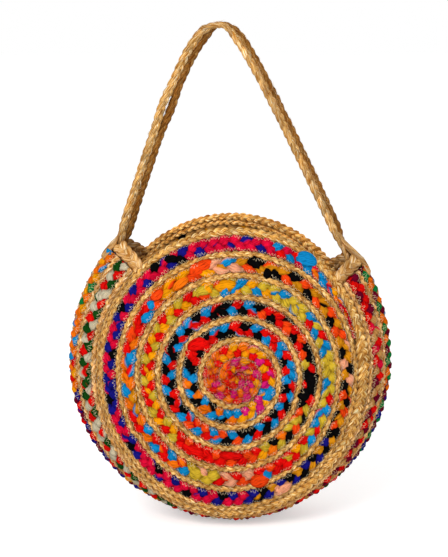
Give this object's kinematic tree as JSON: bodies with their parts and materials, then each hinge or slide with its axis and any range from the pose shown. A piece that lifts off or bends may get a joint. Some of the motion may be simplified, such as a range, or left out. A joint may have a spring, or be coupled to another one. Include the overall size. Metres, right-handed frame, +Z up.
{
  "type": "circle bag",
  "caption": "Round shoulder bag of coiled jute and rag braids sewn edge to edge, with a braided gusset, an open mouth and an arched braided strap to carry it by.",
  "frame": {"origin": "underside of the strap at its peak, where a shoulder, hand or hook carries the bag", "axes": "+X to the right seen from the front, +Y to the back, +Z up; the front panel faces -Y"},
  "size_m": [0.4181, 0.165, 0.6489],
  "materials": {
    "jute": "braided, matte",
    "rag_red_orange": "braided, matte",
    "rag_blue_black": "braided, matte",
    "rag_blue_red": "braided, matte",
    "rag_mustard_red": "braided, matte",
    "rag_orange_black": "braided, matte",
    "rag_crimson_navy": "braided, matte",
    "rag_red_green": "braided, matte",
    "rag_orange_maroon": "braided, matte"
  },
  "bodies": {
    "strap": {"strap_braid_front": "jute", "strap_braid_back": "jute"},
    "bag": {"front_jute_coil": "jute", "front_rag_centre": "rag_red_orange", "front_rag_ring_1": "rag_blue_black", "front_rag_ring_2": "rag_blue_red", "front_rag_ring_3": "rag_mustard_red", "front_rag_ring_4": "rag_orange_black", "front_rag_ring_5": "rag_crimson_navy", "back_jute_coil": "jute", "back_rag_centre": "rag_red_orange", "back_rag_ring_1": "rag_blue_black", "back_rag_ring_2": "rag_blue_red", "back_rag_ring_3": "rag_mustard_red", "back_rag_ring_4": "rag_orange_black", "back_rag_ring_5": "rag_crimson_navy", "gusset_jute_a": "jute", "gusset_jute_b": "jute", "gusset_jute_c": "jute", "gusset_jute_d": "jute", "gusset_jute_e": "jute", "gusset_rag_1": "rag_red_green", "gusset_rag_2": "rag_orange_maroon", "gusset_rag_3": "rag_orange_maroon", "gusset_rag_4": "rag_red_green", "gusset_end_braid_left_front": "jute", "gusset_end_braid_left_back": "jute", "gusset_end_braid_right_front": "jute", "gusset_end_braid_right_back": "jute", "strap_anchor_left": "jute", "strap_anchor_right": "jute"}
  },
  "joints": [
    {"name": "bag_swing", "type": "hinge", "parent": "strap", "child": "bag", "pos_m": [0, 0, -0.256], "axis": [1, 0, 0], "range_deg": [-90, 90]}
  ]
}
